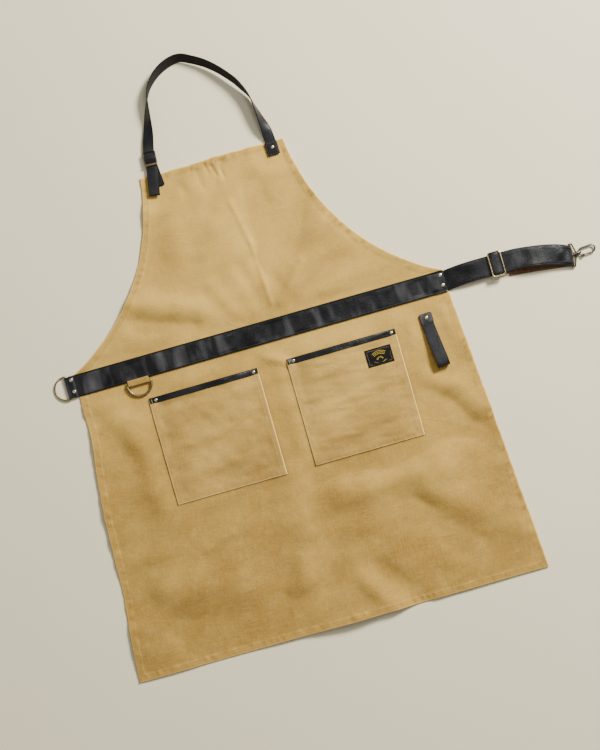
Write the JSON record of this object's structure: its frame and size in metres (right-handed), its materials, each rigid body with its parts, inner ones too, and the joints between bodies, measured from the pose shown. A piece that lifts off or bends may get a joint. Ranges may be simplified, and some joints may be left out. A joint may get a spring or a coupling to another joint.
{
  "type": "work apron",
  "caption": "Canvas bib apron with leather waist belt, neck strap, patch pockets, tool rings, towel loop and a waist strap that ends in a swivel snap hook.",
  "frame": {"origin": "middle of the waist, on the back of the canvas", "axes": "+Y towards the bib and neck strap, +X towards the snap hook, +Z out of the front"},
  "size_m": [0.9325, 0.9886, 0.025],
  "materials": {
    "canvas": "washed cotton duck, tan",
    "pocket_canvas": "washed cotton duck, tan",
    "black_leather": "pebbled, half matt",
    "suede": "brown suede back",
    "antique_brass": "aged, satin",
    "rivet_brass": "pale, polished",
    "dark_nickel": "dark, polished",
    "woven_label": "damask weave with a gold pattern"
  },
  "bodies": {
    "root": {"canvas_body": "canvas", "left_pocket": "pocket_canvas", "right_pocket": "pocket_canvas", "left_pocket_trim": "black_leather", "right_pocket_trim": "black_leather", "pocket_rivet_caps": "rivet_brass", "pocket_rivet_posts": "rivet_brass", "pocket_label": "woven_label", "waist_belt": "black_leather", "left_chape": "black_leather", "belt_rivet_caps": "rivet_brass", "belt_rivet_posts": "rivet_brass", "strap_anchor": "black_leather", "tool_ring_loop": "pocket_canvas", "towel_tab": "black_leather", "towel_rivet_cap": "rivet_brass", "towel_rivet_post": "rivet_brass", "neck_right_tab": "black_leather", "neck_left_tab": "black_leather", "neck_tail": "black_leather", "neck_rivet_caps": "rivet_brass", "neck_rivet_posts": "rivet_brass"},
    "side_ring": {"left_d_ring": "antique_brass"},
    "tool_ring": {"tool_d_ring": "antique_brass"},
    "towel": {"towel_loop": "black_leather"},
    "neck": {"neck_strap": "black_leather", "buckle_chape": "black_leather", "neck_buckle": "antique_brass"},
    "strap": {"waist_strap": "black_leather"},
    "adjuster": {"slide_adjuster": "antique_brass", "return_wrap": "suede"},
    "strap_end": {"strap_fold": "black_leather", "strap_return": "suede"},
    "eye": {"hook_eye": "dark_nickel"},
    "hook": {"hook_body": "dark_nickel", "gate_pin": "dark_nickel", "gate_spring": "antique_brass"},
    "gate": {"hook_gate": "dark_nickel"}
  },
  "joints": [
    {"name": "side_ring_swing", "type": "hinge", "parent": "root", "child": "side_ring", "pos_m": [-0.3342, 0, 0.003], "axis": [0, 1, 0], "range_deg": [0, 130]},
    {"name": "tool_ring_swing", "type": "hinge", "parent": "root", "child": "tool_ring", "pos_m": [-0.2182, -0.024, 0.00475], "axis": [-1, 0, 0], "range_deg": [0, 130]},
    {"name": "towel_loop_lift", "type": "hinge", "parent": "root", "child": "towel", "pos_m": [0.2708, -0.0619, 0.0052], "axis": [-0.9952, -0.0976, 0], "range_deg": [0, 100]},
    {"name": "neck_loop_lift", "type": "hinge", "parent": "root", "child": "neck", "pos_m": [0, 0.3056, 0.0048], "axis": [1, 0, 0], "range_deg": [0, 120]},
    {"name": "waist_strap_lift", "type": "hinge", "parent": "root", "child": "strap", "pos_m": [0.3198, 0, 0.0046], "axis": [0, -1, 0], "range_deg": [0, 100]},
    {"name": "adjuster_slide", "type": "slide", "parent": "strap", "child": "adjuster", "axis": [1, 0, 0], "range_m": [-0.03, 0.006]},
    {"name": "strap_end_slide", "type": "slide", "parent": "strap", "child": "strap_end", "axis": [1, 0, 0], "range_m": [-0.015, 0.003]},
    {"name": "hook_eye_swing", "type": "hinge", "parent": "strap_end", "child": "eye", "pos_m": [0.5305, -0.0175, 0.00355], "axis": [-0.0872, -0.9962, 0], "range_deg": [0, 100]},
    {"name": "hook_swivel", "type": "hinge", "parent": "eye", "child": "hook", "pos_m": [0.5305, -0.0175, 0.00355], "axis": [0.9976, 0.0698, 0], "continuous": true},
    {"name": "gate_open", "type": "hinge", "parent": "hook", "child": "gate", "pos_m": [0.55187, -0.02207, 0.00355], "axis": [0, 0, 1], "range_deg": [0, 28], "stiffness_Nm_per_rad": 0.04, "springref_deg": -20.05}
  ],
  "couplings": [
    {"joint": "strap_end_slide", "follows": "adjuster_slide", "ratio": 0.5}
  ]
}
